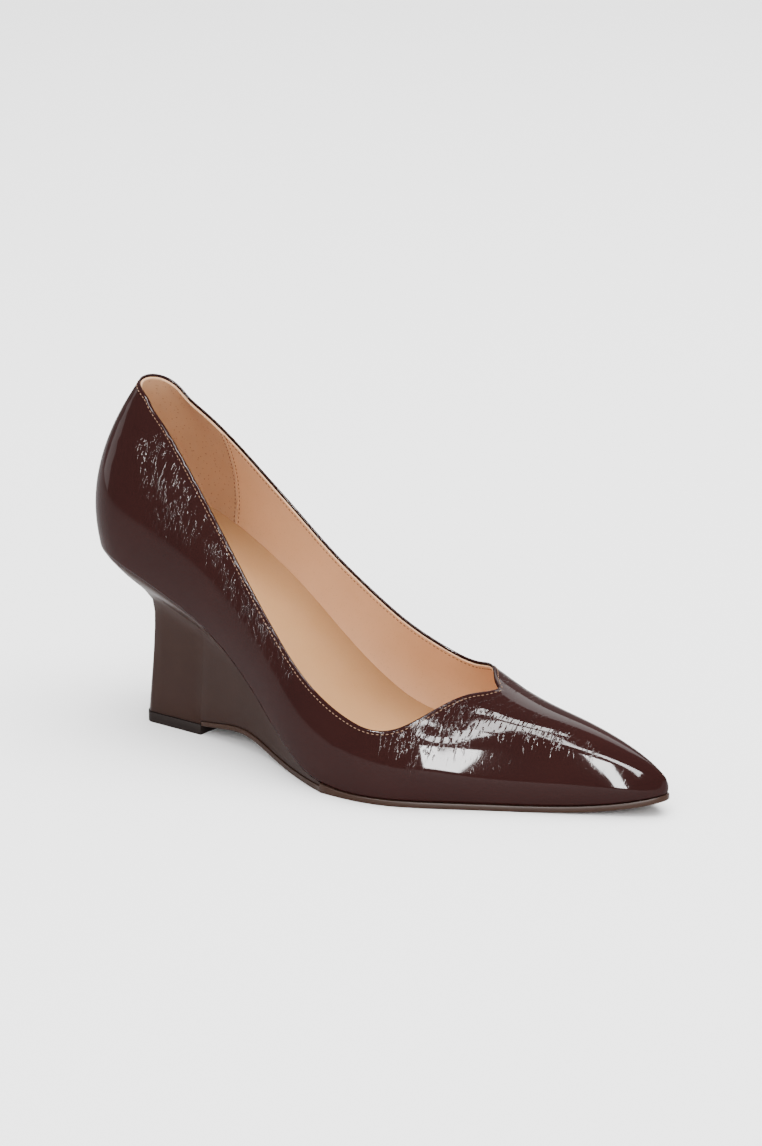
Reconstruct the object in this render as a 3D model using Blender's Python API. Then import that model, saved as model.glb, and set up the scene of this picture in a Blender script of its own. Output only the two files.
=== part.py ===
"""A woman's right shoe: a pointed pump on a waisted wedge, standing empty on its sole.

+X runs from heel to toe, +Y towards the inner (medial) side, +Z up. The shoe is built round a last.
The feather line is the lower edge of the upper, seen from above as the last's outline. Lengths in
the tables are shares of the named sizes above them, and "along" is a share of the last's length.
"""

import math
from collections import namedtuple

import bmesh
import bpy
import numpy as np
from mathutils import Vector

MM = 0.001

# Driving sizes of the last
LENGTH = 248 * MM  # back of the heel to the tip of the toe, along the floor
BALL_WIDTH = 74.3 * MM  # widest part of the feather line
HEEL_RISE = 68.4 * MM  # feather line at the back of the heel, above the feather line at the ball
INSTEP_HEIGHT = 72 * MM  # crown of the last above the feather line, at the instep
HEEL_CENTRE = 27.2 * MM  # from the back of the heel to the centre of its round
TIP_RADIUS = 3.0 * MM  # round of the toe's tip, seen from above
TOE_SPRING = 5.8 * MM  # lift of the toe's tip
CHEEK = 1.9 * MM  # how far the upper swells out beyond the feather line

# Leather, board and rubber
WALL = 1.5 * MM  # upper with its lining
INSOLE = 7.0 * MM  # board, padding and sock at the heel
INSOLE_TOE = 2.4 * MM  # the same at the toe
OUTSOLE = 2.3 * MM  # leather sole under the ball
OUTSOLE_WAIST = 1.8 * MM  # the same, skived where it runs up the arch
SOLE_EDGE = 0.5 * MM  # how far the sole's edge stands out from the feather line
TOP_PIECE = 4.0 * MM  # rubber under the wedge's foot
TOP_PIECE_EDGE = 0.4 * MM  # how far the rubber stands out from the foot
GAP = 0.3 * MM  # clearance between any two pieces

# Wedge
FOOT_BACK = 25.8 * MM  # back of the foot, from the back of the heel
FOOT_CORNER = 31.8 * MM  # where the foot's round back meets its straight side
FOOT_FRONT = 56 * MM  # front of the foot
FOOT_WIDTH = 40.4 * MM
FOOT_STEP = 0.5 * MM  # run of the step from the foot up to the arch
ARCH = 6.4 * MM  # height of the hollow under the wedge
SEAT_EDGE = 0.3 * MM  # how far the wedge's rim lies inside the feather line

# Places along the last, as shares of its length
FLAT_START, FLAT_END = 0.50, 0.78  # the sole lies flat on the floor between these
RISE_START = 0.60  # behind this the feather line climbs towards the heel
THROAT = 0.74  # tip of the V on the crown
WEDGE_END = 0.532  # the wedge runs out to nothing here, under the ball
NOSE = WEDGE_END * LENGTH

# Fullness: 2 gives an ellipse, and more is squarer
HEEL_FULLNESS = 2.4
HEEL_UPRIGHT = 0.18  # how much less the back of the heel leans in than its sides
FOOT_FULLNESS = 3.2
TOE_CURL = 3  # the toe lifts slowly and then faster, as this power of the way to its tip
SWELL_TOP = 0.82  # share of the crown's height where the swell of the upper ends
SWELL_REACH = 8 * MM  # the swell fades where the last is narrower than this, at the toe

# Mesh fineness
BACK_COLUMNS = 14  # round the heel, on each side
SIDE_COLUMNS = 22  # from the heel's centre to the start of the V's curve, on each side
THROAT_COLUMNS = 16  # along the curve to the V's tip
TOE_COLUMNS = 16  # from the V's tip to the toe's
CURVE_START = 0.80  # where the V's curve starts, as a share of the way to its tip
TIP_CROWDING = 1.7  # columns draw together towards the toe's tip: 1 is evenly spaced
ROWS = 12  # up the wall
WEDGE_ROWS = 12
RIM_CROWDING = 1.5  # the wedge's rows draw together towards its rim: 1 is evenly spaced
FOOT_COLUMNS, ARCH_COLUMNS = 5, 18
FINE = 60  # steps used to measure round a section
WELD = 0.0003 * MM  # points nearer than this are one
CREASE = 40  # degrees: an edge that turns more than this stays sharp

# Seen from above: half width, centre line and the crown's line, as shares of BALL_WIDTH
PlanRow = namedtuple("PlanRow", "along half centre ridge")
PLAN = [
    PlanRow(0.00, 0.384, 0.000, 0.000),
    PlanRow(0.11, 0.381, 0.000, 0.000),
    PlanRow(0.20, 0.366, -0.015, 0.000),
    PlanRow(0.30, 0.356, -0.046, -0.001),
    PlanRow(0.40, 0.394, -0.074, -0.007),
    PlanRow(0.50, 0.472, -0.082, -0.019),
    PlanRow(0.58, 0.500, -0.065, -0.026),
    PlanRow(0.65, 0.484, -0.032, -0.020),
    PlanRow(0.72, 0.419, 0.027, 0.001),
    PlanRow(0.82, 0.302, 0.110, 0.055),
    PlanRow(0.92, 0.175, 0.174, 0.130),
    PlanRow(1.00, 0.000, 0.203, 0.203),
]

# Climb of the feather line from ball to heel, as a share of HEEL_RISE
RiseRow = namedtuple("RiseRow", "along rise")
RISE = [
    RiseRow(0.00, 1.000),
    RiseRow(0.11, 0.880),
    RiseRow(0.20, 0.757),
    RiseRow(0.30, 0.583),
    RiseRow(0.40, 0.309),
    RiseRow(0.45, 0.165),
    RiseRow(0.50, 0.056),
    RiseRow(0.55, 0.011),
    RiseRow(RISE_START, 0.000),
]

# Sections: crown as a share of INSTEP_HEIGHT, then the fullness of the section's top and sides
CrownRow = namedtuple("CrownRow", "along crown top side")
CROWN = [
    CrownRow(0.00, 0.972, 2.9, 1.04),
    CrownRow(0.15, 0.972, 2.9, 1.04),
    CrownRow(0.30, 1.000, 2.7, 1.0),
    CrownRow(0.45, 0.985, 2.5, 1.15),
    CrownRow(0.55, 0.855, 2.4, 1.4),
    CrownRow(0.65, 0.682, 2.3, 1.7),
    CrownRow(0.75, 0.493, 2.2, 2.05),
    CrownRow(0.85, 0.393, 2.1, 2.2),
    CrownRow(0.93, 0.277, 2.1, 2.1),
    CrownRow(0.98, 0.150, 2.1, 2.0),
    CrownRow(1.00, 0.080, 2.1, 2.0),
]

# Topline: its height above the feather line on each side, as a share of the crown's height there.
# to_throat is the share of the way from the back of the heel to the V's tip.
ToplineRow = namedtuple("ToplineRow", "to_throat lateral medial")
TOPLINE = [
    ToplineRow(0.00, 0.868, 0.868),
    ToplineRow(0.07, 0.869, 0.861),
    ToplineRow(0.14, 0.861, 0.842),
    ToplineRow(0.21, 0.799, 0.774),
    ToplineRow(0.30, 0.685, 0.644),
    ToplineRow(0.40, 0.560, 0.562),
    ToplineRow(0.50, 0.484, 0.546),
    ToplineRow(0.60, 0.472, 0.594),
    ToplineRow(0.70, 0.480, 0.640),
    ToplineRow(0.79, 0.464, 0.640),
    ToplineRow(0.85, 0.482, 0.684),
    ToplineRow(0.89, 0.563, 0.785),
    ToplineRow(0.93, 0.743, 0.905),
    ToplineRow(0.965, 0.919, 0.985),
    ToplineRow(1.00, 1.000, 1.000),
]

# Wedge's side from rim to foot: share of the drop, and share of the way in, past 1 at the waist
SideRow = namedtuple("SideRow", "drop way_in")
WEDGE_SIDE = [
    SideRow(0.00, 0.00),
    SideRow(0.05, 0.16),
    SideRow(0.10, 0.44),
    SideRow(0.14, 0.73),
    SideRow(0.18, 0.98),
    SideRow(0.23, 1.14),
    SideRow(0.30, 1.20),
    SideRow(0.45, 1.18),
    SideRow(0.60, 1.14),
    SideRow(0.80, 1.07),
    SideRow(1.00, 1.00),
]

# Hollow under the wedge from its foot to the flat of the sole, as a share of ARCH
ArchRow = namedtuple("ArchRow", "forward lift")
ARCH_CURVE = [
    ArchRow(0.00, 0.56),
    ArchRow(0.12, 0.74),
    ArchRow(0.25, 0.94),
    ArchRow(0.34, 0.99),
    ArchRow(0.43, 0.88),
    ArchRow(0.53, 0.60),
    ArchRow(0.63, 0.31),
    ArchRow(0.74, 0.11),
    ArchRow(0.86, 0.02),
    ArchRow(1.00, 0.00),
]


def batten(table, place, value, level_end=False):
    """The curve of a thin batten bent through one column of a table, as a function of place."""
    places = np.array([getattr(row, place) for row in table])
    values = np.array([getattr(row, value) for row in table])
    steps, slopes = np.diff(places), np.diff(values) / np.diff(places)
    count = len(places)
    system, loads = np.eye(count), np.zeros(count)
    for i in range(1, count - 1):
        system[i, i - 1 : i + 2] = steps[i - 1], 2 * (steps[i - 1] + steps[i]), steps[i]
        loads[i] = 6 * (slopes[i] - slopes[i - 1])
    if level_end:
        system[-1, -2:] = steps[-1], 2 * steps[-1]
        loads[-1] = -6 * slopes[-1]
    bends = np.linalg.solve(system, loads)

    def read(at):
        at = float(np.clip(at, places[0], places[-1]))
        i = min(int(np.searchsorted(places, at, "right")) - 1, count - 2)
        left, right = at - places[i], places[i + 1] - at
        bent = bends[i] * right**3 + bends[i + 1] * left**3
        ends = values[i] * right + values[i + 1] * left
        sag = steps[i] ** 2 * (bends[i] * right + bends[i + 1] * left)
        return (bent + 6 * ends - sag) / (6 * steps[i])

    return read


# The half width is bent as its square over the distance left to the tip, so that the tip is round
SquareRow = namedtuple("SquareRow", "along square")
SQUARES = [SquareRow(row.along, (row.half * BALL_WIDTH) ** 2 / (1 - row.along)) for row in PLAN[:-1]]
SQUARES.append(SquareRow(1.0, 2 * TIP_RADIUS * LENGTH))
read_square = batten(SQUARES, "along", "square")
read_centre = batten(PLAN, "along", "centre")
read_ridge = batten(PLAN, "along", "ridge")
read_rise = batten(RISE, "along", "rise", level_end=True)
read_crown = batten(CROWN, "along", "crown")
read_top = batten(CROWN, "along", "top")
read_side = batten(CROWN, "along", "side")
read_topline = {
    -1: batten(TOPLINE, "to_throat", "lateral"),
    1: batten(TOPLINE, "to_throat", "medial"),
}
read_wedge_side = batten(WEDGE_SIDE, "drop", "way_in")
read_arch = batten(ARCH_CURVE, "forward", "lift", level_end=True)


def half_width(x):
    along = x / LENGTH
    return math.sqrt(max(read_square(along) * (1 - along), 0))


def centre(x):
    return BALL_WIDTH * read_centre(x / LENGTH)


def spring(x):
    """Lift of the toe above the floor."""
    return TOE_SPRING * (max(x / LENGTH - FLAT_END, 0) / (1 - FLAT_END)) ** TOE_CURL


def feather(x):
    """Height of the feather line above the floor."""
    along = x / LENGTH
    rise = HEEL_RISE * read_rise(along) if along < RISE_START else 0
    return OUTSOLE + GAP + rise + spring(x)


def crown(x):
    """Height of the last's crown above the feather line."""
    return INSTEP_HEIGHT * read_crown(x / LENGTH)


def blend(start, end, share):
    return start + (end - start) * share


class Station:
    """A place on the feather line, and the place on the last's middle that its section leans to."""

    def __init__(self, x, y, root_x, root_y):
        self.x, self.y, self.root_x, self.root_y = x, y, root_x, root_y
        self.reach = math.hypot(x - root_x, y - root_y)


def back_station(angle, side):
    """On the round of the heel: angle 0 is at its side, and a quarter turn is at its back."""
    middle = centre(HEEL_CENTRE)
    x = HEEL_CENTRE * (1 - math.sin(angle) ** (2 / HEEL_FULLNESS))
    y = middle + side * half_width(HEEL_CENTRE) * math.cos(angle)
    lean = 1 - HEEL_UPRIGHT * math.sin(angle) ** 2
    return Station(x, y, blend(x, HEEL_CENTRE, lean), blend(y, middle, lean))


def side_station(x, side):
    ridge = BALL_WIDTH * read_ridge(x / LENGTH)
    return Station(x, centre(x) + side * half_width(x), x, ridge)


def back_angles(count):
    """Angles round the heel from its back towards its side, without the last."""
    return [math.pi / 2 * (1 - i / count) for i in range(count)]


def last_places():
    """Distances from the heel's centre to the toe's tip, closer together at the V and the tip."""
    tip, curve = THROAT * LENGTH, CURVE_START * THROAT * LENGTH
    places = list(np.linspace(HEEL_CENTRE, curve, SIDE_COLUMNS + 1))
    places += list(np.linspace(curve, tip, THROAT_COLUMNS + 1))[1:]
    left = np.linspace(1, 0, TOE_COLUMNS + 1)[1:]
    return places + [LENGTH - (LENGTH - tip) * share**TIP_CROWDING for share in left]


def stations(side):
    round_back = [back_station(angle, side) for angle in back_angles(BACK_COLUMNS)]
    return round_back + [side_station(x, side) for x in last_places()]


def top_turn(station, side):
    """How far up its section the topline lies, as a share of the quarter turn to the crown."""
    to_throat = station.x / (THROAT * LENGTH)
    if to_throat >= 1:
        return 1.0
    climb = min(read_topline[side](to_throat), 1.0)
    return math.asin(climb ** (read_top(station.x / LENGTH) / 2)) / (math.pi / 2)


def wall_point(station, turn):
    """A point of the upper's outside, a share of the quarter turn from feather line to crown."""
    along, angle, height = station.x / LENGTH, turn * math.pi / 2, crown(station.x)
    climb = math.sin(angle) ** (2 / read_top(along))
    inward = max(math.cos(angle), 0) ** (2 / read_side(along))
    share = min(climb / SWELL_TOP, 1)
    swell = 27 / 4 * share * (1 - share) ** 2  # 1 at its fullest, a third of the way up
    inward += swell * CHEEK / max(station.reach, SWELL_REACH)
    x = blend(station.root_x, station.x, inward)
    y = blend(station.root_y, station.y, inward)
    return Vector((x, y, feather(station.x) + height * climb))


def wall_column(station, side):
    """Points up the wall, evenly spaced, from the feather line to the topline or the crown."""
    top = top_turn(station, side)
    turns = np.linspace(0, top, FINE + 1)
    fine = [wall_point(station, turn) for turn in turns]
    lengths = np.cumsum([0] + [(b - a).length for a, b in zip(fine, fine[1:])])
    wanted = np.linspace(0, lengths[-1], ROWS)
    return [wall_point(station, turn) for turn in np.interp(wanted, lengths, turns)]


def sheet(mesh, columns):
    """Quads between neighbouring columns of points."""
    grid = [[mesh.verts.new(point) for point in points] for points in columns]
    for near, far in zip(grid, grid[1:]):
        for i in range(len(near) - 1):
            mesh.faces.new((near[i], far[i], far[i + 1], near[i + 1]))


def weld(mesh):
    bmesh.ops.remove_doubles(mesh, verts=mesh.verts, dist=WELD)
    bmesh.ops.dissolve_degenerate(mesh, edges=mesh.edges, dist=WELD)


def material(name, colour, roughness):
    made = bpy.data.materials.new(name)
    made.use_nodes = True
    shader = made.node_tree.nodes["Principled BSDF"]
    shader.inputs["Base Color"].default_value = (*colour, 1)
    shader.inputs["Roughness"].default_value = roughness
    return made


def add_object(name, mesh, finish):
    data = bpy.data.meshes.new(name)
    mesh.to_mesh(data)
    mesh.free()
    data.materials.append(finish)
    data.shade_smooth()
    data.set_sharp_from_angle(angle=math.radians(CREASE))
    made = bpy.data.objects.new(name, data)
    bpy.context.scene.collection.objects.link(made)
    return made


def add_upper():
    """One shell round the last, open at the topline and underneath."""
    mesh = bmesh.new()
    sheet(mesh, [wall_column(station, -1) for station in stations(-1)])
    sheet(mesh, [wall_column(station, 1) for station in reversed(stations(1))])
    weld(mesh)
    upper = add_object("upper", mesh, material("patent_leather", (0.058, 0.026, 0.023), 0.12))
    wall = upper.modifiers.new("wall", "SOLIDIFY")
    wall.thickness = WALL
    wall.offset = -1
    wall.use_even_offset = True
    return upper


def offset(outline, distance):
    """An open outline from heel to toe, moved out from the middle by a distance along its normals."""
    points = np.array(outline)
    run = np.gradient(points, axis=0)
    side = 1 if points[:, 1].mean() > 0 else -1
    normals = side * np.stack([-run[:, 1], run[:, 0]], axis=1)
    normals /= np.linalg.norm(normals, axis=1)[:, None]
    return [tuple(point) for point in points + distance * normals]


def feather_outline(side, distance):
    """The feather line from the heel's back to the toe's tip, moved out by a distance."""
    middle = centre(HEEL_CENTRE)
    moved = offset([(station.x, station.y) for station in stations(side)], distance)
    moved[0] = (-distance, middle)
    moved[-1] = (LENGTH + distance, centre(LENGTH))
    return moved


def add_plate(mesh, outlines, low, high):
    """A closed plate between two outlines, its underside and its top given as heights along x."""
    ribs = []
    for lateral, medial in zip(*outlines):
        corners = [(lateral, low), (medial, low), (medial, high), (lateral, high)]
        ribs.append([Vector((x, y, height(x))) for (x, y), height in corners])
    close_ribs(mesh, ribs)


def close_ribs(mesh, ribs):
    """Quads between neighbouring rings of points, closed at both ends."""
    rings = [[mesh.verts.new(point) for point in rib] for rib in ribs]
    for near, far in zip(rings, rings[1:]):
        for i in range(len(near)):
            j = (i + 1) % len(near)
            mesh.faces.new((near[i], near[j], far[j], far[i]))
    mesh.faces.new(reversed(rings[0]))
    mesh.faces.new(rings[-1])
    weld(mesh)
    bmesh.ops.recalc_face_normals(mesh, faces=mesh.faces)


def add_insole():
    """Board, padding and sock inside the upper, thinner towards the toe."""
    mesh = bmesh.new()
    outlines = [feather_outline(side, -(WALL + GAP)) for side in (-1, 1)]

    def top(x):
        return feather(x) + blend(INSOLE, INSOLE_TOE, max(x, 0) / LENGTH)

    add_plate(mesh, outlines, feather, top)
    return add_object("insole", mesh, material("sock_leather", (0.68, 0.41, 0.25), 0.55))


def sole_underside(x):
    """Height of the leather sole's underside: arch, flat of the ball and toe spring."""
    flat = FLAT_START * LENGTH
    if x < flat:
        return ARCH * read_arch((x - FOOT_FRONT) / (flat - FOOT_FRONT))
    return spring(x)


def sole_top_under_wedge(x):
    forward = min(max((x - FOOT_FRONT) / (NOSE - FOOT_FRONT), 0), 1)
    return sole_underside(x) + blend(OUTSOLE_WAIST, OUTSOLE, forward)


def foot_half(x):
    """Half width of the wedge's underside: the foot's, then widening to the feather line's."""
    forward = max((x - FOOT_FRONT) / (NOSE - FOOT_FRONT), 0)
    return blend(FOOT_WIDTH / 2, half_width(x) - SEAT_EDGE, min(forward, 1))


def foot_centre(x):
    forward = max((x - FOOT_FRONT) / (NOSE - FOOT_FRONT), 0)
    return centre(x) * min(forward, 1)


def foot_back(angle, side):
    """The round back of the foot, squarer than an ellipse."""
    x = FOOT_CORNER - (FOOT_CORNER - FOOT_BACK) * math.sin(angle)
    y = side * FOOT_WIDTH / 2 * math.cos(angle) ** (2 / FOOT_FULLNESS)
    return (x, y)


def arch_places():
    start = FOOT_FRONT + FOOT_STEP
    return list(np.linspace(start, NOSE, ARCH_COLUMNS + 1))


def add_outsole():
    """Leather sole from the toe's tip, under the ball and up the arch to the foot."""
    start = FOOT_FRONT + TOP_PIECE_EDGE + GAP
    nose = NOSE + GAP
    rear = [x for x in arch_places() if start + GAP < x < nose - GAP]
    rear = [start] + rear + [nose]
    front = [x for x in last_places() if x > nose + GAP]
    outlines = []
    for side in (-1, 1):
        under = [(x, foot_centre(x) + side * foot_half(x)) for x in rear]
        ahead = [(x, centre(x) + side * half_width(x)) for x in [nose + GAP] + front]
        moved = offset(under + ahead, SOLE_EDGE)
        moved[0] = (start, moved[0][1])
        moved[-1] = (LENGTH + SOLE_EDGE, centre(LENGTH))
        outlines.append(moved)

    def top(x):
        if x < nose + GAP / 2:
            return sole_top_under_wedge(x)
        return feather(x) - GAP

    mesh = bmesh.new()
    add_plate(mesh, outlines, sole_underside, top)
    return add_object("outsole", mesh, material("sole_leather", (0.075, 0.042, 0.030), 0.45))


def wedge_columns(side):
    """Columns from rim to underside, round the back of the heel and along to the nose."""
    places = list(np.linspace(FOOT_CORNER, FOOT_FRONT, FOOT_COLUMNS + 1)) + arch_places()
    angles = back_angles(BACK_COLUMNS)
    rims = [back_station(angle, side) for angle in angles]
    for x in places:
        share = (NOSE - x) / (NOSE - FOOT_CORNER)
        rims.append(side_station(blend(NOSE, HEEL_CENTRE, share), side))
    rim = offset([(station.x, station.y) for station in rims], -SEAT_EDGE)
    rim[0] = (SEAT_EDGE, centre(HEEL_CENTRE))
    feet = [(*foot_back(angle, side), TOP_PIECE + GAP) for angle in angles]
    for x in places:
        low = sole_top_under_wedge(x) + GAP if x > FOOT_FRONT else TOP_PIECE + GAP
        feet.append((x, foot_centre(x) + side * foot_half(x), low))
    columns = []
    for (rim_x, rim_y), (foot_x, foot_y, low) in zip(rim, feet):
        high, points = feather(rim_x) - GAP, []
        for drop in np.linspace(0, 1, WEDGE_ROWS) ** RIM_CROWDING:
            way_in = read_wedge_side(drop)
            x, y = blend(rim_x, foot_x, way_in), blend(rim_y, foot_y, way_in)
            points.append(Vector((x, y, blend(high, low, drop))))
        columns.append(points)
    return columns


def add_wedge():
    """Covered wedge: its rim follows the feather line, and its sides draw in to a waisted foot."""
    ribs = []
    for lateral, medial in zip(wedge_columns(-1), wedge_columns(1)):
        ribs.append(lateral + medial[::-1])
    mesh = bmesh.new()
    close_ribs(mesh, ribs)
    return add_object("wedge", mesh, material("wedge_leather", (0.062, 0.040, 0.032), 0.32))


def add_top_piece():
    """Rubber under the foot."""
    outlines = []
    for side in (-1, 1):
        places = np.linspace(FOOT_CORNER, FOOT_FRONT, FOOT_COLUMNS + 1)
        outline = [foot_back(angle, side) for angle in back_angles(BACK_COLUMNS)]
        outline += [(x, side * FOOT_WIDTH / 2) for x in places]
        moved = offset(outline, TOP_PIECE_EDGE)
        moved[0] = (FOOT_BACK - TOP_PIECE_EDGE, 0)
        moved[-1] = (FOOT_FRONT + TOP_PIECE_EDGE, moved[-1][1])
        outlines.append(moved)
    mesh = bmesh.new()
    add_plate(mesh, outlines, lambda x: 0.0, lambda x: TOP_PIECE)
    return add_object("top_piece", mesh, material("heel_rubber", (0.022, 0.018, 0.016), 0.5))


def put_origin_under_middle(pieces):
    """Moves every mesh so that the origin is at the middle of the bounding box's underside."""
    corners = np.array([tuple(vertex.co) for piece in pieces for vertex in piece.data.vertices])
    low, high = corners.min(axis=0), corners.max(axis=0)
    middle = Vector(((low[0] + high[0]) / 2, (low[1] + high[1]) / 2, low[2]))
    for piece in pieces:
        for vertex in piece.data.vertices:
            vertex.co -= middle


def main():
    for old in list(bpy.data.objects):
        bpy.data.objects.remove(old)
    put_origin_under_middle([add_upper(), add_insole(), add_outsole(), add_wedge(), add_top_piece()])


main()
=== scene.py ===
# %% [markdown]
# # A wedge pump in crinkled patent leather
# This script dresses a finished CAD model of a shoe for its portrait. The CAD part gives every
# dimension: +X points to the toe, +Y to the inner side of the foot, +Z up, and lengths are in metres.
# Here the shoe gets what a maker's bench gives it: leather, lining, stitches, light and a camera.

# %% Load the frame
import math

import bmesh
import bpy
import numpy as np
from mathutils import Matrix, Vector
from mathutils.bvhtree import BVHTree


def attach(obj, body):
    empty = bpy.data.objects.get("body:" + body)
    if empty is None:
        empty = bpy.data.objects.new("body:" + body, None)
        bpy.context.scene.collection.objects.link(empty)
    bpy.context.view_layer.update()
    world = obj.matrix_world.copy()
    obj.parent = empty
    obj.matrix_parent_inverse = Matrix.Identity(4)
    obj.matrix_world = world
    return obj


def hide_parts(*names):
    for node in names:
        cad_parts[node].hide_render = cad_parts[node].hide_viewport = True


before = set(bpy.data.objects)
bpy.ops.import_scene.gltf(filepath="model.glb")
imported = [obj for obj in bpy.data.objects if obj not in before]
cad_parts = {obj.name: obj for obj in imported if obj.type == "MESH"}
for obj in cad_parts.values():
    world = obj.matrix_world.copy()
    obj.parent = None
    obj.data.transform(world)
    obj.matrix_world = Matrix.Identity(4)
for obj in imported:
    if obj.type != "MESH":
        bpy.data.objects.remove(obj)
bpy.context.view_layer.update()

MM = 0.001
UP = Vector((0, 0, 1))

# %% [markdown]
# ## The camera
# A long lens far away keeps the shoe's proportions honest, as a product photographer would.
# The camera could be keyed in as a location and three angles. Here it is described by where it stands
# round the shoe and how far off, and is aimed at a point inside the shoe, which is easier to think
# about. A small step to the side and upwards frames the picture. The values come from fitting the
# model's outline and toplines to those in the picture that it is matched to.

# %% Place the camera
AZIMUTH, ELEVATION, ROLL = (math.radians(angle) for angle in (38.145, 17.587, -0.4))
DISTANCE = 1.6601  # metres from the point that it is aimed at
AIM = Vector((-3.5, 4.26, 49.5)) * MM
SIDE_STEP, RISE_STEP = 6.65 * MM, 21.43 * MM
LENS = 139.1  # focal length, in mm

toward = Vector((math.sin(AZIMUTH) * math.cos(ELEVATION), -math.cos(AZIMUTH) * math.cos(ELEVATION),
                 math.sin(ELEVATION)))
level = Vector((math.cos(AZIMUTH), math.sin(AZIMUTH), 0))
upright = toward.cross(level)
right = level * math.cos(ROLL) + upright * math.sin(ROLL)
up = upright * math.cos(ROLL) - level * math.sin(ROLL)

camera = bpy.data.objects.new("camera", bpy.data.cameras.new("camera"))
camera.data.lens = LENS
camera.data.clip_start, camera.data.clip_end = 0.1, 60
turn = Matrix((right, up, toward)).transposed().to_4x4()
camera.matrix_world = Matrix.Translation(AIM + toward * DISTANCE + right * SIDE_STEP + up * RISE_STEP) @ turn
bpy.context.scene.collection.objects.link(camera)
bpy.context.scene.camera = camera
print("camera at", [round(v, 3) for v in camera.location])

# %% [markdown]
# ## Colours and nodes
# Colours are picked as the web's hex codes, which are sRGB. Blender's shaders want linear light, so
# one function turns them. Another adds any shader node together with its settings and its links.

# %% Helpers for materials
def linear(code):
    """An sRGB hex colour such as "8a5a3c" as linear red, green, blue and alpha."""
    parts = [int(code[i : i + 2], 16) / 255 for i in (0, 2, 4)]
    return [p / 12.92 if p <= 0.04045 else ((p + 0.055) / 1.055) ** 2.4 for p in parts] + [1.0]


def add(tree, kind, inputs=None, **settings):
    """Adds a node. Settings are its properties; inputs are values, or sockets to link from."""
    made = tree.nodes.new(kind)
    for name, value in settings.items():
        setattr(made, name, value)
    for name, value in (inputs or {}).items():
        if isinstance(value, bpy.types.NodeSocket):
            tree.links.new(value, made.inputs[name])
        else:
            made.inputs[name].default_value = value
    return made


def new_material(name, **sockets):
    """A material whose Principled shader has these values on its own sockets."""
    made = bpy.data.materials.new(name)
    made.use_nodes = True
    shader = made.node_tree.nodes["Principled BSDF"]
    for socket, value in sockets.items():
        shader.inputs[socket.replace("_", " ")].default_value = value
    return made, made.node_tree, shader


# %% [markdown]
# ## Patent leather
# Patent leather is hide under a clear, poured film. Seen close, the film mirrors its surroundings,
# and the shrunk hide under it gives short crinkles that break the mirror into sparks. An image of
# real crinkles could be projected on it, but noise needs no picture and has no seams. A dark base
# colour is the dyed hide, and a thin clear coat is the film. A real film is a full coat. This one is
# weak, so that the bright floor doesn't turn the leather grey, and the lamps are made brighter to
# make up for it. The crinkles are a bump of stretched noise, strongest where the attribute "crinkle",
# given to each point further down, says that the hide is loose.

# %% Patent leather
patent, tree, shader = new_material(
    "patent_leather_film_over_crushed_hide",
    Roughness=0.35, IOR=1.5, Specular_IOR_Level=0.0,
    Coat_Weight=0.16, Coat_Roughness=0.05, Coat_IOR=1.45,
)
where = add(tree, "ShaderNodeTexCoord").outputs["Object"]
loose = add(tree, "ShaderNodeAttribute", attribute_name="crinkle").outputs["Fac"]
# Wrinkles a millimetre apart along the shoe and about four times as long down its side
drawn = add(tree, "ShaderNodeMapping", {
    "Vector": where, "Rotation": (0, math.radians(-14), 0), "Scale": (1, 0.24, 0.24),
})
strokes = add(tree, "ShaderNodeTexNoise", {
    "Vector": drawn.outputs["Vector"], "Scale": 1 / MM, "Detail": 2, "Roughness": 0.5, "Distortion": 0.8,
})
more = add(tree, "ShaderNodeMath", {0: loose, 1: 0.08, 2: strokes.outputs["Fac"]}, operation="MULTIPLY_ADD")
# Only the crests of the noise stand up as wrinkles, and more of them do where the hide is loose
ridges = add(tree, "ShaderNodeMapRange", {"Value": more.outputs[0], "From Min": 0.58, "From Max": 0.76},
             interpolation_type="SMOOTHSTEP")
# The whole film waves slightly, 15 mm from crest to crest
waves = add(tree, "ShaderNodeTexNoise", {"Vector": where, "Scale": 65, "Detail": 1})
height = add(tree, "ShaderNodeMath", {0: ridges.outputs["Result"], 1: loose}, operation="MULTIPLY")
crinkle_bump = add(tree, "ShaderNodeBump", {
    "Height": height.outputs[0], "Strength": 1.0, "Distance": 0.21 * MM,
})
film_bump = add(tree, "ShaderNodeBump", {
    "Height": waves.outputs["Fac"], "Strength": 0.06, "Distance": 0.25 * MM,
    "Normal": crinkle_bump.outputs["Normal"],
})
tree.links.new(film_bump.outputs["Normal"], shader.inputs["Normal"])
tree.links.new(film_bump.outputs["Normal"], shader.inputs["Coat Normal"])
tint = add(tree, "ShaderNodeTexNoise", {"Vector": where, "Scale": 35, "Detail": 2})
shade = add(tree, "ShaderNodeMix", {"Factor": tint.outputs["Fac"], 6: linear("1e0c0b"), 7: linear("26110f")},
            data_type="RGBA")
tree.links.new(shade.outputs[2], shader.inputs["Base Color"])
print("made", patent.name, "with", len(tree.nodes), "nodes")

# %% [markdown]
# ## Lining and sock leather
# The inside is undyed-looking goat or pig skin: matte, warm beige, with pores that show as small
# dots a little more than a millimetre apart. They could be modelled as pits, but there are far too
# many. Cells of a Voronoi pattern make the pores, darker and sunk in, and a slow noise makes the
# colour uneven, as skin is. The pigskin at the heel is rougher and its pores are the darkest.

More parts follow.
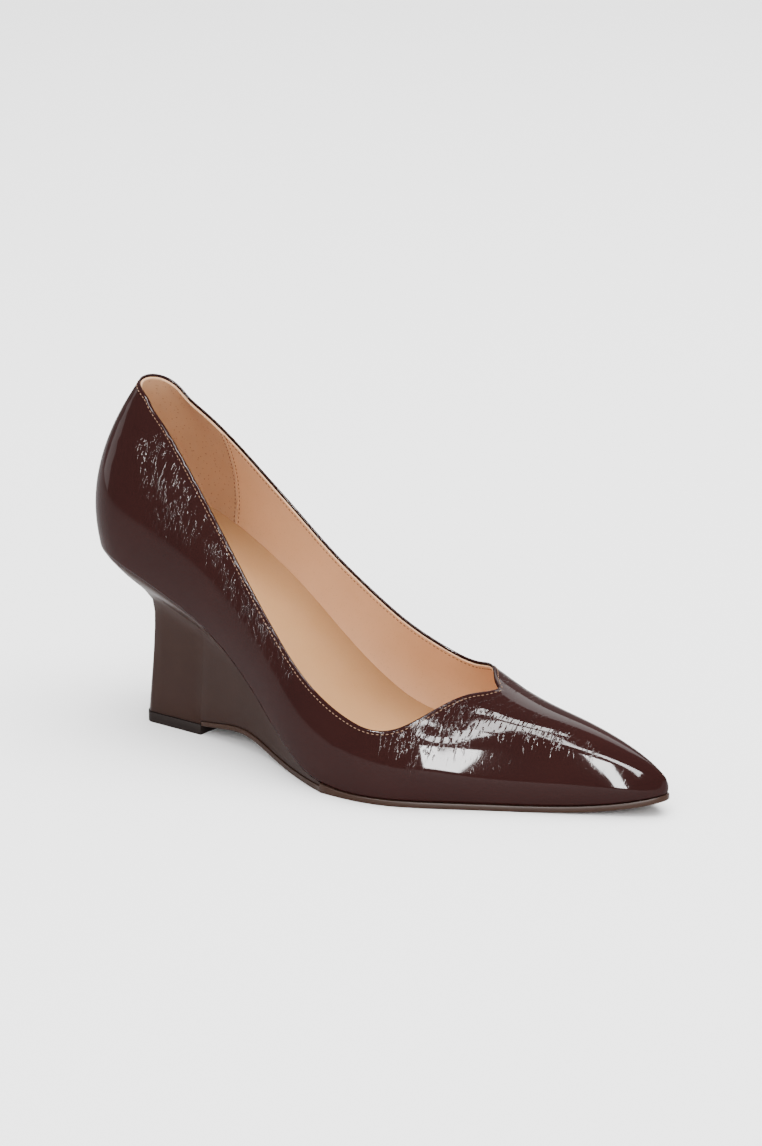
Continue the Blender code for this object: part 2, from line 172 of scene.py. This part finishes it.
# %% Lining leather
def skin(name, light, dark, pore_spacing, pore_shade, roughness):
    """Matte leather with pores this far apart, in metres, and this dark."""
    made, tree, shader = new_material(
        name, Roughness=roughness, Specular_IOR_Level=0.03, Sheen_Weight=0.03, Sheen_Roughness=0.5
    )
    where = add(tree, "ShaderNodeTexCoord").outputs["Object"]
    cloud = add(tree, "ShaderNodeTexNoise", {"Vector": where, "Scale": 45, "Detail": 4, "Roughness": 0.6})
    shades = add(tree, "ShaderNodeMix", {"Factor": cloud.outputs["Fac"], 6: linear(dark), 7: linear(light)},
                 data_type="RGBA")
    pores = add(tree, "ShaderNodeTexVoronoi", {"Vector": where, "Scale": 1 / pore_spacing, "Randomness": 1.0})
    holes = add(tree, "ShaderNodeMapRange", {"Value": pores.outputs["Distance"], "From Min": 0.08,
                                             "From Max": 0.24, "To Min": 1 - pore_shade, "To Max": 1.0})
    pitted = add(tree, "ShaderNodeMix", {"Factor": 1.0, 6: shades.outputs[2], 7: holes.outputs["Result"]},
                 data_type="RGBA", blend_type="MULTIPLY")
    grain = add(tree, "ShaderNodeTexNoise", {"Vector": where, "Scale": 1500, "Detail": 3})
    fine = add(tree, "ShaderNodeBump", {"Height": grain.outputs["Fac"], "Strength": 0.25,
                                        "Distance": 0.1 * MM})
    dents = add(tree, "ShaderNodeBump", {"Height": holes.outputs["Result"], "Strength": 0.5,
                                         "Distance": 0.15 * MM, "Normal": fine.outputs["Normal"]})
    tree.links.new(pitted.outputs[2], shader.inputs["Base Color"])
    tree.links.new(dents.outputs["Normal"], shader.inputs["Normal"])
    return made


lining_leather = skin("lining_kid_leather_undyed", "dcb088", "cfa07a", 1.3 * MM, 0.12, 0.5)
counter_leather = skin("counter_pigskin_lining", "c29a78", "b28a68", 1.5 * MM, 0.45, 0.6)
sock_leather = skin("sock_leather_glazed_kid", "a8805a", "9e754e", 1.3 * MM, 0.06, 0.48)
print("made", [made.name for made in (lining_leather, counter_leather, sock_leather)])

# %% [markdown]
# ## Wedge cover, sole, rubber and thread
# The wedge is wrapped in the same brown leather without the film: satin, with a fine grain. The sole
# is stained brown, the top piece is black moulded rubber, and the threads are waxed or plain. Their
# surfaces differ only in colour, roughness and size of grain, so one function makes them all.

# %% Other leathers, rubber and thread
def plain_finish(name, colour, other, roughness, grain_size, depth):
    """A stained surface with two close shades and a fine grain of this size, in metres."""
    made, tree, shader = new_material(name, Roughness=roughness, IOR=1.5, Specular_IOR_Level=0.07)
    where = add(tree, "ShaderNodeTexCoord").outputs["Object"]
    cloud = add(tree, "ShaderNodeTexNoise", {"Vector": where, "Scale": 60, "Detail": 4})
    mixed = add(tree, "ShaderNodeMix", {"Factor": cloud.outputs["Fac"], 6: linear(colour), 7: linear(other)},
                data_type="RGBA")
    grain = add(tree, "ShaderNodeTexNoise", {"Vector": where, "Scale": 1 / grain_size, "Detail": 3})
    bump = add(tree, "ShaderNodeBump", {"Height": grain.outputs["Fac"], "Strength": depth,
                                        "Distance": 0.1 * MM})
    tree.links.new(mixed.outputs[2], shader.inputs["Base Color"])
    tree.links.new(bump.outputs["Normal"], shader.inputs["Normal"])
    return made


wedge_leather = plain_finish("wedge_cover_satin_calf", "21110c", "291812", 0.36, 0.8 * MM, 0.25)
sole_leather = plain_finish("sole_edge_stained_leather", "2a1a12", "33221a", 0.4, 0.7 * MM, 0.3)
heel_rubber = plain_finish("heel_rubber_moulded", "130a07", "180e0a", 0.55, 0.5 * MM, 0.3)
thread = plain_finish("thread_waxed_polyester", "715643", "7e6350", 0.6, 0.3 * MM, 0.4)
lining_thread = plain_finish("thread_lining_cotton", "583a26", "63442f", 0.7, 0.3 * MM, 0.4)
print("made", [made.name for made in (wedge_leather, sole_leather, heel_rubber, thread, lining_thread)])

# %% [markdown]
# ## Skins of the upper
# A shoe's upper is two leathers back to back: patent outside and lining inside. They could be drawn
# again from nothing, but they have to fit the CAD part, whose upper is one closed shell of loose
# triangles. Merged and turned back into quads, the shell falls into its outer skin, its inner skin
# and two narrow rims, because the edges between those turn sharply. So both skins are taken from it.

# %% Split the upper's shell
def merged(node):
    """A copy of a CAD node's mesh with its loose triangles joined up into quads."""
    mesh = bmesh.new()
    mesh.from_mesh(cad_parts[node].data)
    bmesh.ops.remove_doubles(mesh, verts=mesh.verts, dist=0.001 * MM)
    bmesh.ops.join_triangles(mesh, faces=mesh.faces, angle_face_threshold=math.radians(30),
                             angle_shape_threshold=math.radians(60))
    return mesh


def regions(mesh, limit):
    """Groups of faces that meet at less than this angle, largest first."""
    left, found = set(mesh.faces), []
    for seed in list(mesh.faces):
        if seed not in left:
            continue
        left.discard(seed)
        todo, group = [seed], [seed]
        while todo:
            face = todo.pop()
            for edge in face.edges:
                if edge.is_manifold and edge.calc_face_angle() < limit:
                    for near in edge.link_faces:
                        if near in left:
                            left.discard(near)
                            todo.append(near)
                            group.append(near)
        found.append(group)
    return sorted(found, key=lambda group: -sum(face.calc_area() for face in group))


RIM_TURN = math.radians(50)  # the shell's rims turn more than this from its two skins


def skin_of_upper(which):
    """The upper's outer (0) or inner (1) skin, facing out of the shell."""
    mesh = merged("upper")
    keep = set(regions(mesh, RIM_TURN)[which])
    bmesh.ops.delete(mesh, geom=[face for face in mesh.faces if face not in keep], context="FACES")
    return mesh


outer_skin, inner_skin = skin_of_upper(0), skin_of_upper(1)
print("outer skin", len(outer_skin.faces), "faces, inner skin", len(inner_skin.faces))

# %% [markdown]
# ## From a mesh to a piece
# Every piece of the shoe becomes an object in the same way: it gets its mesh, its finish and smooth
# shading, and it rides on the shoe. Another helper subdivides a mesh for good, because points are
# moved and measured on the fine mesh. A live modifier would be quicker to set up, but its points
# can't be moved one by one.

# %% Helpers that make and finish objects
def add_piece(name, mesh, material):
    """A mesh as a named object with a finish, riding on the shoe."""
    data = bpy.data.meshes.new(name)
    mesh.to_mesh(data)
    mesh.free()
    piece = bpy.data.objects.new(name, data)
    bpy.context.scene.collection.objects.link(piece)
    data.materials.append(material)
    data.shade_smooth()
    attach(piece, "root")
    return piece


def add_modifier(piece, kind, **settings):
    """A modifier with these settings, at the end of the piece's stack."""
    made = piece.modifiers.new(kind.lower(), kind)
    for name, value in settings.items():
        setattr(made, name, value)


def baked(mesh, levels):
    """The mesh after this many levels of subdivision, as a new bmesh."""
    data = bpy.data.meshes.new("scratch")
    mesh.to_mesh(data)
    holder = bpy.data.objects.new("scratch", data)
    bpy.context.scene.collection.objects.link(holder)
    add_modifier(holder, "SUBSURF", levels=levels, render_levels=levels, boundary_smooth="PRESERVE_CORNERS")
    bpy.context.view_layer.update()
    result = bmesh.new()
    result.from_mesh(holder.evaluated_get(bpy.context.evaluated_depsgraph_get()).to_mesh())
    bpy.data.objects.remove(holder)
    return result


def loops(mesh):
    """The mesh's open edges as loops of vertices, highest loop first."""
    mesh.edges.index_update()
    left, found = {edge for edge in mesh.edges if edge.is_boundary}, []
    while left:
        edge = min(left, key=lambda waiting: waiting.index)
        left.discard(edge)
        first, last = edge.verts
        loop = [first, last]
        while last is not first:
            edge = next(e for e in last.link_edges if e in left)
            left.discard(edge)
            last = edge.other_vert(last)
            loop.append(last)
        found.append(loop[:-1])
    return sorted(found, key=lambda loop: -max(vert.co.z for vert in loop))


# %% [markdown]
# ## Where the hide is loose
# The film is crinkled along the topline and over the ball, where the hide is pulled least on the
# last, and smooth elsewhere. A painted image could say so. Here a short list of spots does it: each
# is a soft ball in space, and a point of the hide is as loose as the strongest ball that it lies in.

# %% Loose spots
# Middle in mm, radius in mm and strength of each loose spot. They were placed where lines
# of sight through the crinkled places of the picture meet the upper.
LOOSE = np.array([
    (-89, -14, 109, 6, 0.9), (-82, -19, 98, 8, 1.0), (-76, -21, 90, 9, 1.0), (-66, -22, 84, 7, 0.8),
    (-52, -23, 77, 6, 1.2), (-43, -25, 68, 6, 1.4), (-34, -27, 61, 6, 1.6), (-25, -29, 54, 6, 1.6),
    (-17, -31, 48, 5, 1.4),
    (-10, -33, 42, 6, 0.6), (37, -32, 26, 6, 0.7), (43, -30, 24, 6, 0.8), (47, -30, 18, 5, 0.5),
    (48, -26, 28, 6, 1.4), (54, -20, 31, 7, 1.6), (58, -12, 34, 7, 1.4), (60, -6, 35.5, 7, 1.0),
    (68, -5, 33, 6.5, 1.0), (78, -1, 30.5, 6, 0.9), (88, 3, 27.5, 6, 0.6), (98, 6, 23.5, 5, 0.3),
    (56, 20, 34, 14, 0.6), (-60, 28, 82, 14, 0.6),
    (-20, 28, 62, 14, 0.6),
])
FIRM = 0.015  # looseness everywhere else


def looseness(places):
    """How crinkled the film is at each place, from 0 to 1."""
    away = np.linalg.norm(places[:, None] - LOOSE[None, :, :3], axis=2) / LOOSE[:, 3]
    return np.maximum(FIRM, (LOOSE[:, 4] * np.exp(-(away**2))).max(axis=1))


print(len(LOOSE), "loose spots")

# %% [markdown]
# ## Creases
# Between the fine crinkles the hide also folds in a few longer creases, which give the highlights
# their ragged ends. They are too deep for a bump, which moves no outline, so they sink the mesh
# itself. A crease is a short bowed line with a smooth hollow round it, repeated a few times.

# %% Creases
BOW = 0.05  # how far a crease bows to the side at its ends, as a share of its half length
# Each row is one set of creases, in mm: middle, direction that they run in, direction that they
# repeat in, how many, spacing, half length, width and depth
CREASES = [
    ((42, -31, 25), (0.75, 0.35, 0.55), (-0.4, -0.2, 0.9), 3, 2.6, 6, 0.9, 0.22),
    ((60, -17, 31), (0.5, 0.75, 0.4), (0.9, 0.1, -0.3), 4, 3.6, 7, 1.2, 0.25),
    ((66, 2, 35.5), (-0.35, 0.92, -0.1), (1, 0.25, -0.3), 6, 4.0, 8, 1.3, 0.22),
    ((-70, -21, 92), (0.25, -0.3, -0.92), (0.6, -0.1, -0.75), 6, 3.8, 7, 1.2, 0.22),
    ((-28, -29, 58), (0.3, -0.3, -0.9), (0.75, -0.1, -0.6), 7, 4.2, 5, 1.2, 0.18),
]


def crease_depth(places):
    """How far the hide sinks at each place, in mm. A crease bows a little and fades at its ends."""
    depth = np.zeros(len(places))
    for middle, run, repeat, count, spacing, half, width, deep in CREASES:
        run, repeat = np.array(Vector(run).normalized()), np.array(Vector(repeat).normalized())
        for number in range(count):
            away = places - (np.array(middle) + repeat * spacing * (number - (count - 1) / 2))
            along = away @ run
            bow = BOW * along**2 / half * (1 if number % 2 else -1)
            aside = np.linalg.norm(away - np.outer(along, run) - np.outer(bow, repeat), axis=1)
            fade = np.clip(1 - (along / half) ** 2, 0, 1)
            depth = np.maximum(depth, deep * fade * np.exp(-((aside / width) ** 2)))
    return depth


print(sum(row[3] for row in CREASES), "creases")

# %% [markdown]
# ## Soft ridges
# The upper also swells a little where the vamp bends at the ball, and along the vamp's crest, from
# the V to the toe. Less than a millimetre high, the swellings are hard to see as shapes, but they
# turn the mirror, and so decide where the bright patch and the long streak lie. They were placed
# by watching those two in trial renders. A sculpting brush could do the same, but a number
# can be read and changed again.

# %% Soft ridges
# Each row, in mm: middle, direction that it runs in, direction that counts as front, half length,
# width behind, width in front, height
RIDGES = [
    ((46, -30, 16.5), (0.05, 0.35, 0.93), (0.85, 0.5, 0), 15, 8, 13, 0.85),
    ((88, 1.5, 26.5), (0.9, 0.32, -0.33), (0, 0, 1), 36, 8, 8, 0.75),
]


def ridge_height(places):
    """How far the ridges stand out at each place, in mm."""
    height = np.zeros(len(places))
    for middle, run, front, half, width_behind, width_before, tall in RIDGES:
        run = np.array(Vector(run).normalized())
        away = places - np.array(middle)
        along = away @ run
        aside = np.linalg.norm(away - np.outer(along, run), axis=1)
        width = np.where(away @ np.array(front) < 0, width_behind, width_before)
        height += tall * np.clip(1 - (along / half) ** 2, 0, 1) * np.exp(-((aside / width) ** 2))
    return height


print(len(RIDGES), "ridges, up to", max(row[-1] for row in RIDGES), "mm high")

# %% [markdown]
# ## The patent upper
# The outer skin is subdivided twice, so that a face is about a millimetre across and can carry a
# crease. Its points then sink or rise along their normals, except at the open edges, which have to
# meet the lining and the sole. Solidify gives it the thickness of leather, inwards.

# %% Patent upper
LEATHER = 0.7 * MM
fine_outer = baked(outer_skin, 2)
layer = fine_outer.verts.layers.float.new("crinkle")
fine_outer.normal_update()
places = np.array([vert.co for vert in fine_outer.verts]) / MM
depths = crease_depth(places) - ridge_height(places)
for vert, loose_here, depth in zip(fine_outer.verts, looseness(places), depths):
    vert[layer] = loose_here
    if not vert.is_boundary:
        vert.co -= vert.normal * float(depth) * MM
outer_tree = BVHTree.FromBMesh(fine_outer)
topline = [vert.co.copy() for vert in loops(fine_outer)[0]]
upper = add_piece("upper_patent", fine_outer, patent)
add_modifier(upper, "SOLIDIFY", thickness=LEATHER, offset=-1, use_even_offset=True)
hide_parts("upper")
print("patent skin has", len(upper.data.polygons), "faces and its topline", len(topline), "points")

# %% [markdown]
# ## The lining
# The lining is thin kid leather, glued in and stitched along the topline. It could be an offset of
# the patent skin, but the CAD shell has an inner side of its own, which is used as it is. Its upper
# edge is drawn a little down from the topline, because the patent leather is turned over it.

# %% Lining
EDGE_DROP = 0.7 * MM
MOST_OF_STEP = 0.8  # share of the way to the next point below that the edge may be drawn down
LINING = 0.5 * MM
fine_inner = baked(inner_skin, 2)
rim = loops(fine_inner)[0]
on_rim = set(rim)
for vert in rim:
    below = [edge.other_vert(vert) for edge in vert.link_edges if edge.other_vert(vert) not in on_rim]
    if below:
        step = min(below, key=lambda other: other.co.z).co - vert.co
        vert.co += step.normalized() * min(EDGE_DROP, MOST_OF_STEP * step.length)
inner_tree = BVHTree.FromBMesh(fine_inner)
lining_rim = [vert.co.copy() for vert in rim]
counter_mesh = fine_inner.copy()
lining = add_piece("lining", fine_inner, lining_leather)
add_modifier(lining, "SOLIDIFY", thickness=LINING, offset=-1, use_even_offset=True)
print("lining rim has", len(rim), "points")

# %% [markdown]
# ## The heel counter's lining
# Inside the heel a separate panel of pigskin, rough side out, stops the foot from slipping. It could
# be drawn as a patch, but it would then have to be bent to the lining's curve. So it is cut from the
# same surface: a plane cuts the lining's copy, the front part is dropped, and what is left is lifted
# off the lining by its own thickness.

# %% Counter lining
SEAM = Vector((-86, 0, 84)) * MM  # a point of the seam's plane, and below which way it faces
SEAM_NORMAL = Vector((1, 0, -0.12)).normalized()
PANEL = 0.35 * MM
ON_PLANE = 0.001 * MM  # a point nearer to the plane than this lies on it
whole = counter_mesh.verts[:] + counter_mesh.edges[:] + counter_mesh.faces[:]
bmesh.ops.bisect_plane(counter_mesh, geom=whole, plane_co=SEAM, plane_no=SEAM_NORMAL, clear_outer=True)
counter_mesh.normal_update()
on_cut = [vert.co.copy() for vert in counter_mesh.verts
          if abs((vert.co - SEAM).dot(SEAM_NORMAL)) < ON_PLANE]
counter_cuts = {
    "inner": sorted((place for place in on_cut if place.y > AIM.y), key=lambda place: place.z),
    "outer": sorted((place for place in on_cut if place.y < AIM.y), key=lambda place: place.z),
}
for vert in counter_mesh.verts:
    vert.co += vert.normal * PANEL
counter = add_piece("counter_lining", counter_mesh, counter_leather)
add_modifier(counter, "SOLIDIFY", thickness=PANEL, offset=-1, use_even_offset=True)
print("counter lining has", len(counter.data.polygons), "faces")

# %% [markdown]
# ## Stitches
# A row of machine stitches holds the turned edge, and a double row holds the counter's panel. An
# array along a curve could set them out, but it doesn't know which way the leather faces. So each
# stitch is a slim bead of thread of a few dozen faces, laid along the edge at even steps, a little
# way down the side, and turned to follow both the edge and the leather.

# %% Helpers for stitches
def even_steps(points, spacing, closed):
    """Places and directions along a line of points, this far apart."""
    line = np.array([tuple(p) for p in points] + ([tuple(points[0])] if closed else []))
    reach = np.concatenate([[0], np.cumsum(np.linalg.norm(np.diff(line, axis=0), axis=1))])
    count = int(reach[-1] / spacing)
    at = (np.arange(count) + 0.5) * reach[-1] / count
    place = np.stack([np.interp(at, reach, line[:, k]) for k in range(3)], axis=1)
    ahead = np.stack([np.interp(at + spacing / 2, reach, line[:, k]) for k in range(3)], axis=1)
    return [(Vector(p), Vector(q - p).normalized()) for p, q in zip(place, ahead)]


def row_beside(points, surface, drop, spacing):
    """Places, directions and normals along a line on a surface, moved off its edge by this drop."""
    row = []
    for place, direction in even_steps(points, spacing, closed=True):
        _, normal, _, _ = surface.find_nearest(place)
        aside = direction.cross(normal).normalized()
        tries = [surface.find_nearest(place + aside * sign * drop) for sign in (1, -1)]
        best = min(tries, key=lambda hit: hit[3])
        row.append((best[0], direction, best[1]))
    return row


def add_stitches(name, row, length, width, material):
    """A bead of thread at each place of a row, sunk in by a quarter of its width."""
    bead = bmesh.new()
    bmesh.ops.create_uvsphere(bead, u_segments=8, v_segments=6, radius=1)
    bmesh.ops.scale(bead, verts=bead.verts, vec=(length / 2, width / 2, width / 2))
    one = bpy.data.meshes.new("one_stitch")
    bead.to_mesh(one)
    mesh = bmesh.new()
    for place, direction, normal in row:
        side = normal.cross(direction).normalized()
        turn = Matrix((direction, side, direction.cross(side))).transposed().to_4x4()
        placed = one.copy()
        placed.transform(Matrix.Translation(place + normal * width * 0.25) @ turn)
        mesh.from_mesh(placed)
        bpy.data.meshes.remove(placed)
    bpy.data.meshes.remove(one)
    print(name, len(row), "stitches")
    add_piece(name, mesh, material)


# %% Topline stitches
PITCH = 1.75 * MM
OUTSIDE_DROP, INSIDE_DROP = 1.5 * MM, 1.6 * MM  # from the topline down to the row
add_stitches("topline_stitches", row_beside(topline, outer_tree, OUTSIDE_DROP, PITCH),
             1.2 * MM, 0.34 * MM, thread)
add_stitches("lining_stitches", row_beside(lining_rim, inner_tree, INSIDE_DROP, PITCH),
             1.1 * MM, 0.32 * MM, lining_thread)

# %% Counter stitches
# The front row goes through the lining alone, and the back row lies on top of the panel
BEHIND_SEAM = {"front": -0.9 * MM, "back": 1.1 * MM}
for side, cut in counter_cuts.items():
    for line, behind in BEHIND_SEAM.items():
        moved = [place - SEAM_NORMAL * behind for place in cut]
        lift_off = PANEL if behind > 0 else 0
        row = []
        for place, direction in even_steps(moved, PITCH, closed=False):
            found, normal = inner_tree.find_nearest(place)[:2]
            row.append((found + normal * lift_off, direction, normal))
        add_stitches(f"counter_stitches_{side}_{line}", row, 1.1 * MM, 0.3 * MM, lining_thread)

# %% [markdown]
# ## Wedge, sole and top piece
# The covered wedge, the leather sole and the rubber top piece keep the CAD part's shape. Each is a
# merged copy, with small bevels where a real edge is rounded, because no edge of leather or rubber is
# perfectly sharp and a bevel catches light. A bevel modifier would do the same, but a bevel in the
# mesh takes just the edges that it is given.

# %% Solid pieces
SHARP = math.radians(40)  # an edge that turns more than this parts two sides, and gets a bevel


def dressed(node, name, material, radius):
    """A copy of a CAD node with rounded edges, which stands for it."""
    mesh = merged(node)
    sharp = [edge for edge in mesh.edges if edge.is_manifold and edge.calc_face_angle() > SHARP]
    bmesh.ops.bevel(mesh, geom=sharp, offset=radius, offset_type="OFFSET", affect="EDGES",
                    segments=2, profile=0.5, material=-1, clamp_overlap=True)
    piece = add_piece(name, mesh, material)
    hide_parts(node)
    return piece


wedge = dressed("wedge", "wedge_cover", wedge_leather, 0.25 * MM)
sole = dressed("outsole", "leather_sole", sole_leather, 0.3 * MM)
lift = dressed("top_piece", "heel_lift", heel_rubber, 0.35 * MM)
print("solid pieces", [piece.name for piece in (wedge, sole, lift)])

# %% [markdown]
# ## The sock
# The foot stands on a sock of glazed leather over thin foam, moulded up at its edges to meet the
# lining. The top of the CAD part's insole could stand for it, but that is flat up to its edge and
# leaves a gap there. So the sock is a sheet of its own, which starts as a flat grid. One direction of
# the grid runs from heel to toe and the other across the shoe, between the two edges of the insole's
# top. Each point is then lifted by how near it is to the edge, and the edge itself is laid against
# the lining.

# %% Edges of the insole's top
def area_facing_up(faces):
    """The area of these faces as seen from above, less what faces down."""
    return sum(face.normal.z * face.calc_area() for face in faces)


board = merged("insole")
top_faces = set(max(regions(board, SHARP), key=area_facing_up))
bmesh.ops.delete(board, geom=[face for face in board.faces if face not in top_faces], context="FACES")
board_tree = BVHTree.FromBMesh(board)
edge = np.array([vert.co for vert in loops(board)[0]])
edge = np.roll(edge, -int(edge[:, 0].argmin()), axis=0)
tip = int(edge[:, 0].argmax())
chains = (edge[: tip + 1], np.vstack([edge[:1], edge[tip:][::-1]]))
chains = sorted(chains, key=lambda chain: chain[:, 1].mean())
print("insole edge points", [len(chain) for chain in chains])


# %% Places on the insole
ABOVE = 200 * MM  # higher than the shoe
OVER_BOARD = 30 * MM  # where a ray misses the board, the nearest point is looked for from here
KEEP_IN = 0.995  # share of the board's half width that the sock covers


def sock_point(share_along, share_across):
    """A point of the sock: 0 to 1 from heel to toe, and -1 to 1 from the outer to the inner edge."""
    start, end = edge[:, 0].min(), edge[:, 0].max()
    x = start + (end - start) * (1 - math.cos(math.pi * share_along)) / 2
    outer_y, inner_y = (float(np.interp(x, chain[:, 0], chain[:, 1])) for chain in chains)
    middle, half = (outer_y + inner_y) / 2, (inner_y - outer_y) / 2
    place = Vector((x, middle + half * KEEP_IN * share_across, 0))
    down, _, _, _ = board_tree.ray_cast(place + UP * ABOVE, -UP)
    return Vector((x, place.y, (down or board_tree.find_nearest(place + UP * OVER_BOARD)[0]).z))


print("middle of the sock in mm:", [round(v / MM, 1) for v in sock_point(0.5, 0)])

# %% Sock
CUP = 3.2 * MM  # how far the edge is moulded up
CUP_SHARPNESS = 5  # power of the way to the edge: more leaves the middle flat for longer
SOCK = 0.8 * MM
OFF_LINING = 0.1 * MM
END_MARGIN = 0.006  # share of the length left free at each end, where the grid would pinch
sock_mesh = bmesh.new()
bmesh.ops.create_grid(sock_mesh, x_segments=90, y_segments=24, size=1)
for vert in sock_mesh.verts:
    along = END_MARGIN + (1 - 2 * END_MARGIN) * (vert.co.x + 1) / 2
    across = math.sin(math.pi / 2 * vert.co.y)
    flat = sock_point(along, across)
    rim_place = sock_point(along, math.copysign(1, across)) + UP * CUP
    wall, wall_normal, _, _ = inner_tree.find_nearest(rim_place)
    near = abs(across) ** CUP_SHARPNESS
    vert.co = flat + UP * CUP * near + (wall + wall_normal * OFF_LINING - rim_place) * near
bmesh.ops.recalc_face_normals(sock_mesh, faces=sock_mesh.faces)
if area_facing_up(sock_mesh.faces) < 0:
    bmesh.ops.reverse_faces(sock_mesh, faces=sock_mesh.faces)
sock = add_piece("sock", sock_mesh, sock_leather)
add_modifier(sock, "SOLIDIFY", thickness=SOCK, offset=-1, use_even_offset=True)
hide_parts("insole")
print("sock has", len(sock.data.polygons), "faces")

# %% [markdown]
# ## The floor
# The shoe stands on a wide pale floor, as in a product studio. A curved backdrop could hide the
# horizon, but a disc that is much wider than the picture does so too. It doesn't ride on the shoe.

# %% Floor
floor_mesh = bmesh.new()
bmesh.ops.create_circle(floor_mesh, cap_ends=True, radius=14, segments=64)  # metres
floor_data = bpy.data.meshes.new("floor")
floor_mesh.to_mesh(floor_data)
floor = bpy.data.objects.new("floor", floor_data)
bpy.context.scene.collection.objects.link(floor)
floor_paint, _, _ = new_material("floor_matte_paint", Base_Color=linear("f4f4f4"), Roughness=0.9)
floor_data.materials.append(floor_paint)
print("floor has", len(floor_data.polygons), "face")

# %% [markdown]
# ## Light
# Patent leather shows every lamp as a bright shape, so a studio sets each one for the reflection that
# it makes, with black cards to keep the rest dark. The same could be built here with real cards, but
# they would darken the floor as well. So each lamp does one job. A "matte" lamp lights the colours
# and isn't seen in the gloss. A "mirror" lamp is seen in the gloss alone. It is brighter than a real
# one, because the film's coat is weak. Azimuth runs round the shoe from its outer side to its toe.

# %% Lights
AMBIENT = 1.25  # strength of the even light from all round
world = bpy.data.worlds.new("studio")
world.use_nodes = True
world.node_tree.nodes["Background"].inputs["Color"].default_value = linear("f2f2f2")
world.node_tree.nodes["Background"].inputs["Strength"].default_value = AMBIENT
bpy.context.scene.world = world


def softbox(name, azimuth, elevation, distance, width, height, brightness, seen_in, lean=0):
    """A flat area light in this direction from the shoe, in degrees and metres, facing it."""
    light = bpy.data.lights.new(name, "AREA")
    light.shape, light.size, light.size_y = "RECTANGLE", width, height
    light.energy = brightness * math.pi * width * height
    lamp = bpy.data.objects.new(name, light)
    a, e = math.radians(azimuth), math.radians(elevation)
    back = Vector((math.sin(a) * math.cos(e), -math.cos(a) * math.cos(e), math.sin(e)))
    lamp.location = AIM + back * distance
    facing = back.to_track_quat("Z", "Y").to_matrix()
    lamp.rotation_euler = (facing @ Matrix.Rotation(math.radians(lean), 3, "Z")).to_euler()
    lamp.visible_diffuse = seen_in != "mirror"
    lamp.visible_glossy = seen_in != "matte"
    bpy.context.scene.collection.objects.link(lamp)
    print(name, "gives", round(light.energy), "W")


softbox("ceiling", 150, 80, 2.6, 3.0, 3.0, 8.2, "matte")
softbox("fill", 20, 35, 3.0, 2.0, 1.5, 5, "matte")
softbox("patch_softbox", 34, 18, 2.2, 0.24, 1.15, 340, "mirror")
softbox("streak_toe", 41, 38, 2.2, 0.18, 0.9, 203, "mirror", lean=46)
softbox("streak_middle", 26.5, 56, 2.2, 0.22, 0.75, 156, "mirror", lean=11)
softbox("streak_top", 30, 76, 2.0, 0.35, 0.45, 156, "mirror")
softbox("quarter_softbox", -4, 36, 1.8, 0.18, 0.40, 655, "mirror")
softbox("left_rim", -76, 12, 1.9, 0.8, 0.8, 5, "mirror")
softbox("far_softbox", -160, 36, 2.0, 1.3, 1.0, 9, "mirror")
